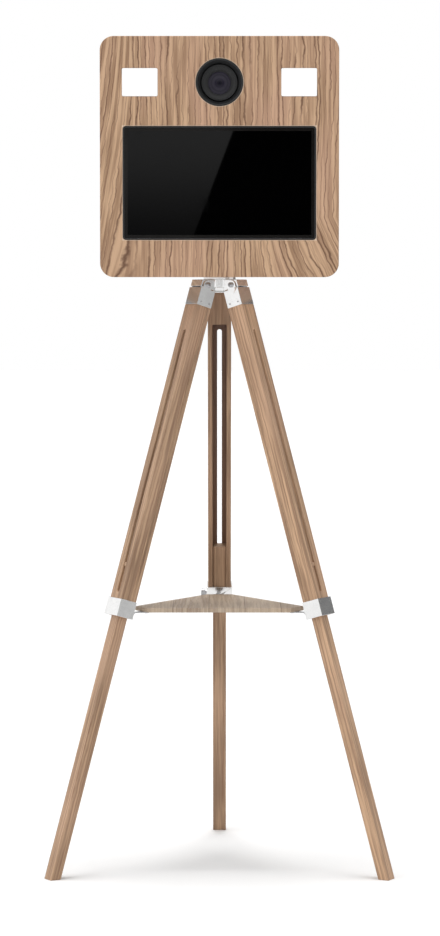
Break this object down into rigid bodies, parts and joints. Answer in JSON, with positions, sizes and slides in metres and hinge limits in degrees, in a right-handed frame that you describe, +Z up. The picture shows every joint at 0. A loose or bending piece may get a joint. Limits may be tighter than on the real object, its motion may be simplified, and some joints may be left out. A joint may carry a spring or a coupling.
{
  "type": "photo booth",
  "caption": "Tripod photo booth: square wood-faced head with camera lens, flash windows and touch screen on slide-out wooden legs tied by a triangular shelf.",
  "frame": {"origin": "on the floor, at the middle of the rectangle that the part covers, seen from above", "axes": "+Z up, -Y towards the person in front of the screen, +X to the right as that person sees it"},
  "size_m": [0.655, 0.5674, 1.572],
  "materials": {
    "panel_wood": "wood-grain laminate, satin",
    "leg_wood": "oiled hardwood, satin",
    "shelf_wood": "oiled hardwood, satin",
    "nickel": "polished nickel plate",
    "steel": "zinc plated",
    "door_paint": "fine-texture powder coat",
    "black_plastic": "moulded, fine texture",
    "lens_black": "matt anodised",
    "grip_rubber": "ribbed",
    "screen_glass": "polished black glass",
    "display_metal": "satin",
    "lens_glass": "coated lens glass",
    "diffuser": "opal acrylic",
    "lamp_plastic": "moulded",
    "button_metal": "satin"
  },
  "bodies": {
    "tripod": {"hub": "nickel", "leg_sleeve_left": "nickel", "leg_sleeve_right": "nickel", "leg_sleeve_rear": "nickel", "pivot_bolt_left": "steel", "pivot_bolt_right": "steel", "pivot_bolt_rear": "steel", "upper_leg_left": "leg_wood", "upper_leg_right": "leg_wood", "upper_leg_rear": "leg_wood", "collar_left": "nickel", "collar_right": "nickel", "collar_rear": "nickel", "shelf": "shelf_wood", "shelf_tongue_left": "steel", "shelf_tongue_right": "steel", "shelf_tongue_rear": "steel", "shelf_pins": "steel"},
    "head": {"front_panel": "panel_wood", "side_shell": "panel_wood", "rear_frame": "door_paint", "door_hinge_shell": "steel", "door_hinge_pins": "steel", "connection_plate": "door_paint", "screen_bezel": "black_plastic", "touch_glass": "screen_glass", "display_panel": "display_metal", "display_straps": "steel", "lens_port": "black_plastic", "lens_barrel": "lens_black", "front_element": "lens_glass", "camera_body": "black_plastic", "camera_bracket": "steel", "flash_window_left": "diffuser", "flash_window_right": "diffuser", "flash_head_left": "lamp_plastic", "flash_head_right": "lamp_plastic", "booth_computer": "door_paint", "power_supply": "steel", "power_inlet": "black_plastic", "switch_housing": "black_plastic", "head_flange": "nickel", "head_bolt": "steel"},
    "rear_door": {"rear_door": "door_paint", "door_hinge_door": "steel", "fan_frame": "black_plastic"},
    "door_latch": {"door_latch": "steel"},
    "fan_rotor": {"fan_rotor": "black_plastic"},
    "power_switch": {"power_switch": "black_plastic"},
    "zoom_ring": {"zoom_ring": "grip_rubber"},
    "shutter_button": {"shutter_button": "button_metal"},
    "lower_leg_left": {"lower_leg_left": "leg_wood"},
    "clamp_screw_left": {"clamp_screw_left": "steel"},
    "lower_leg_right": {"lower_leg_right": "leg_wood"},
    "clamp_screw_right": {"clamp_screw_right": "steel"},
    "lower_leg_rear": {"lower_leg_rear": "leg_wood"},
    "clamp_screw_rear": {"clamp_screw_rear": "steel"}
  },
  "joints": [
    {"name": "head_pan", "type": "hinge", "parent": "tripod", "child": "head", "pos_m": [0, -0.08705, 1.12], "axis": [0, 0, 1], "continuous": true},
    {"name": "door_swing", "type": "hinge", "parent": "head", "child": "rear_door", "pos_m": [-0.2097, -0.00375, 1.3575], "axis": [0, 0, 1], "range_deg": [0, 110]},
    {"name": "latch_turn", "type": "hinge", "parent": "rear_door", "child": "door_latch", "pos_m": [0.1813, -0.01175, 1.3718], "axis": [0, 1, 0], "range_deg": [0, 90]},
    {"name": "fan_spin", "type": "hinge", "parent": "rear_door", "child": "fan_rotor", "pos_m": [0, -0.02375, 1.2775], "axis": [0, 1, 0], "continuous": true},
    {"name": "switch_tip", "type": "hinge", "parent": "head", "child": "power_switch", "pos_m": [0.165, -0.01675, 1.1615], "axis": [0, 0, 1], "range_deg": [0, 8]},
    {"name": "zoom_turn", "type": "hinge", "parent": "head", "child": "zoom_ring", "pos_m": [0, -0.12305, 1.486], "axis": [0, 1, 0], "range_deg": [0, 75]},
    {"name": "shutter_press", "type": "slide", "parent": "head", "child": "shutter_button", "axis": [0, 0, -1], "range_m": [0, 0.0015], "stiffness_N_per_m": 400},
    {"name": "leg_slide_left", "type": "slide", "parent": "tripod", "child": "lower_leg_left", "axis": [0.2445, 0.1412, 0.9593], "range_m": [-0.045, 0.45]},
    {"name": "clamp_turn_left", "type": "hinge", "parent": "tripod", "child": "clamp_screw_left", "pos_m": [-0.18414, -0.19336, 0.49995], "axis": [0.5, -0.866, 0], "continuous": true},
    {"name": "leg_slide_right", "type": "slide", "parent": "tripod", "child": "lower_leg_right", "axis": [-0.2445, 0.1412, 0.9593], "range_m": [-0.045, 0.45]},
    {"name": "clamp_turn_right", "type": "hinge", "parent": "tripod", "child": "clamp_screw_right", "pos_m": [0.18414, -0.19336, 0.49995], "axis": [0.5, 0.866, 0], "continuous": true},
    {"name": "leg_slide_rear", "type": "slide", "parent": "tripod", "child": "lower_leg_rear", "axis": [0, -0.2823, 0.9593], "range_m": [-0.045, 0.45]},
    {"name": "clamp_turn_rear", "type": "hinge", "parent": "tripod", "child": "clamp_screw_rear", "pos_m": [0, 0.12557, 0.49995], "axis": [-1, 0, 0], "continuous": true}
  ]
}
